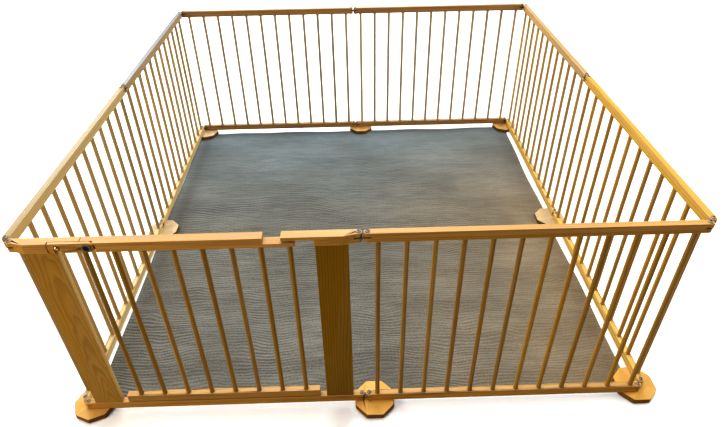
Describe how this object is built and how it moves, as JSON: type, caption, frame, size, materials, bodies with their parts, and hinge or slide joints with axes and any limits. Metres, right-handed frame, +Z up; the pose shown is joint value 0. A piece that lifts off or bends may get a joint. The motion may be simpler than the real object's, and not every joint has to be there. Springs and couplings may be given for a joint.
{
  "type": "folding playpen with a gate",
  "caption": "Square folding wooden playpen: barred panels linked by bolted plates on octagonal feet, with a swinging latched gate and a woven floor mat.",
  "frame": {"origin": "middle of the square pen on the floor, under the mat", "axes": "+Z up; the side with the gate faces -Y, and +X points right along it for someone who stands outside facing the gate"},
  "size_m": [1.9204, 1.9406, 0.7334],
  "materials": {
    "rail_wood": "satin",
    "bar_wood": "satin",
    "board_wood_medium": "satin",
    "board_wood_dark": "satin",
    "foot_wood": "satin",
    "bolt_steel": "satin",
    "stud_metal": "satin",
    "dark_steel": "black oxide",
    "mat_fabric": "woven in fine ribs"
  },
  "bodies": {
    "corner_front_left": {"corner_front_left_foot": "foot_wood", "corner_front_left_link_plates": "bolt_steel", "corner_front_left_bolts": "bolt_steel", "floor_mat": "mat_fabric"},
    "gate_panel": {"gate_panel_left_stub": "rail_wood", "gate_panel_right_stub": "rail_wood", "gate_panel_bottom_rail": "rail_wood", "gate_panel_left_board": "board_wood_medium", "gate_panel_right_board": "board_wood_dark", "latch_stud": "stud_metal"},
    "gate": {"gate_top_rail": "rail_wood", "gate_bottom_rail": "rail_wood", "gate_bars": "bar_wood", "gate_hinge_pins": "bolt_steel", "latch_pivot_bolt": "dark_steel", "latch_pivot_washer": "bolt_steel"},
    "latch_lever": {"latch_lever": "rail_wood"},
    "panel_front_right": {"panel_front_right_top_rail": "rail_wood", "panel_front_right_bottom_rail": "rail_wood", "panel_front_right_bars": "bar_wood"},
    "panel_right_front": {"panel_right_front_top_rail": "rail_wood", "panel_right_front_bottom_rail": "rail_wood", "panel_right_front_bars": "bar_wood"},
    "panel_right_back": {"panel_right_back_top_rail": "rail_wood", "panel_right_back_bottom_rail": "rail_wood", "panel_right_back_bars": "bar_wood"},
    "panel_back_right": {"panel_back_right_top_rail": "rail_wood", "panel_back_right_bottom_rail": "rail_wood", "panel_back_right_bars": "bar_wood"},
    "panel_back_left": {"panel_back_left_top_rail": "rail_wood", "panel_back_left_bottom_rail": "rail_wood", "panel_back_left_bars": "bar_wood"},
    "panel_left_back": {"panel_left_back_top_rail": "rail_wood", "panel_left_back_bottom_rail": "rail_wood", "panel_left_back_bars": "bar_wood"},
    "panel_left_front": {"panel_left_front_top_rail": "rail_wood", "panel_left_front_bottom_rail": "rail_wood", "panel_left_front_bars": "bar_wood"},
    "joint_front_middle": {"joint_front_middle_foot": "foot_wood", "joint_front_middle_link_plates": "bolt_steel", "joint_front_middle_bolts": "bolt_steel"},
    "corner_front_right": {"corner_front_right_foot": "foot_wood", "corner_front_right_link_plates": "bolt_steel", "corner_front_right_bolts": "bolt_steel"},
    "joint_right_middle": {"joint_right_middle_foot": "foot_wood", "joint_right_middle_link_plates": "bolt_steel", "joint_right_middle_bolts": "bolt_steel"},
    "corner_back_right": {"corner_back_right_foot": "foot_wood", "corner_back_right_link_plates": "bolt_steel", "corner_back_right_bolts": "bolt_steel"},
    "joint_back_middle": {"joint_back_middle_foot": "foot_wood", "joint_back_middle_link_plates": "bolt_steel", "joint_back_middle_bolts": "bolt_steel"},
    "corner_back_left": {"corner_back_left_foot": "foot_wood", "corner_back_left_link_plates": "bolt_steel", "corner_back_left_bolts": "bolt_steel"},
    "joint_left_middle": {"joint_left_middle_foot": "foot_wood", "joint_left_middle_link_plates": "bolt_steel", "joint_left_middle_bolts": "bolt_steel"}
  },
  "joints": [
    {"name": "fold", "type": "hinge", "parent": "corner_front_left", "child": "gate_panel", "pos_m": [-0.8915, -0.90776, 0], "axis": [0, 0, 1], "range_deg": [-22.5, 38]},
    {"name": "fold_joint_front_middle", "type": "hinge", "parent": "gate_panel", "child": "joint_front_middle", "pos_m": [-0.0115, -0.90776, 0], "axis": [0, 0, 1], "range_deg": [-38, 22.5]},
    {"name": "fold_panel_front_right", "type": "hinge", "parent": "joint_front_middle", "child": "panel_front_right", "pos_m": [0.0115, -0.90776, 0], "axis": [0, 0, 1], "range_deg": [-38, 22.5]},
    {"name": "fold_corner_front_right", "type": "hinge", "parent": "panel_front_right", "child": "corner_front_right", "pos_m": [0.8915, -0.90776, 0], "axis": [0, 0, 1], "range_deg": [-22.5, 38]},
    {"name": "fold_panel_right_front", "type": "hinge", "parent": "corner_front_right", "child": "panel_right_front", "pos_m": [0.90776, -0.8915, 0], "axis": [0, 0, 1], "range_deg": [-22.5, 38]},
    {"name": "fold_joint_right_middle", "type": "hinge", "parent": "panel_right_front", "child": "joint_right_middle", "pos_m": [0.90776, -0.0115, 0], "axis": [0, 0, 1], "range_deg": [-38, 22.5]},
    {"name": "fold_panel_right_back", "type": "hinge", "parent": "joint_right_middle", "child": "panel_right_back", "pos_m": [0.90776, 0.0115, 0], "axis": [0, 0, 1], "range_deg": [-38, 22.5]},
    {"name": "fold_corner_back_right", "type": "hinge", "parent": "panel_right_back", "child": "corner_back_right", "pos_m": [0.90776, 0.8915, 0], "axis": [0, 0, 1], "range_deg": [-22.5, 38]},
    {"name": "fold_panel_left_front", "type": "hinge", "parent": "corner_front_left", "child": "panel_left_front", "pos_m": [-0.90776, -0.8915, 0], "axis": [0, 0, 1], "range_deg": [-38, 22.5]},
    {"name": "fold_joint_left_middle", "type": "hinge", "parent": "panel_left_front", "child": "joint_left_middle", "pos_m": [-0.90776, -0.0115, 0], "axis": [0, 0, 1], "range_deg": [-22.5, 38]},
    {"name": "fold_panel_left_back", "type": "hinge", "parent": "joint_left_middle", "child": "panel_left_back", "pos_m": [-0.90776, 0.0115, 0], "axis": [0, 0, 1], "range_deg": [-22.5, 38]},
    {"name": "fold_corner_back_left", "type": "hinge", "parent": "panel_left_back", "child": "corner_back_left", "pos_m": [-0.90776, 0.8915, 0], "axis": [0, 0, 1], "range_deg": [-38, 22.5]},
    {"name": "fold_panel_back_left", "type": "hinge", "parent": "corner_back_left", "child": "panel_back_left", "pos_m": [-0.8915, 0.90776, 0], "axis": [0, 0, 1], "range_deg": [-38, 22.5]},
    {"name": "fold_joint_back_middle", "type": "hinge", "parent": "panel_back_left", "child": "joint_back_middle", "pos_m": [-0.0115, 0.90776, 0], "axis": [0, 0, 1], "range_deg": [-22.5, 38]},
    {"name": "fold_panel_back_right", "type": "hinge", "parent": "joint_back_middle", "child": "panel_back_right", "pos_m": [0.0115, 0.90776, 0], "axis": [0, 0, 1], "range_deg": [-22.5, 38]},
    {"name": "gate_swing", "type": "hinge", "parent": "gate_panel", "child": "gate", "pos_m": [-0.189, -0.90776, 0], "axis": [0, 0, 1], "range_deg": [0, 90]},
    {"name": "latch_lift", "type": "hinge", "parent": "gate", "child": "latch_lever", "pos_m": [-0.6955, -0.92126, 0.715], "axis": [0, 1, 0], "range_deg": [0, 90]}
  ],
  "couplings": [
    {"joint": "fold_joint_front_middle", "follows": "fold", "ratio": -1},
    {"joint": "fold_panel_front_right", "follows": "fold", "ratio": -1},
    {"joint": "fold_corner_front_right", "follows": "fold", "ratio": 1},
    {"joint": "fold_panel_right_front", "follows": "fold", "ratio": 1},
    {"joint": "fold_joint_right_middle", "follows": "fold", "ratio": -1},
    {"joint": "fold_panel_right_back", "follows": "fold", "ratio": -1},
    {"joint": "fold_corner_back_right", "follows": "fold", "ratio": 1},
    {"joint": "fold_panel_left_front", "follows": "fold", "ratio": -1},
    {"joint": "fold_joint_left_middle", "follows": "fold", "ratio": 1},
    {"joint": "fold_panel_left_back", "follows": "fold", "ratio": 1},
    {"joint": "fold_corner_back_left", "follows": "fold", "ratio": -1},
    {"joint": "fold_panel_back_left", "follows": "fold", "ratio": -1},
    {"joint": "fold_joint_back_middle", "follows": "fold", "ratio": 1},
    {"joint": "fold_panel_back_right", "follows": "fold", "ratio": 1}
  ]
}
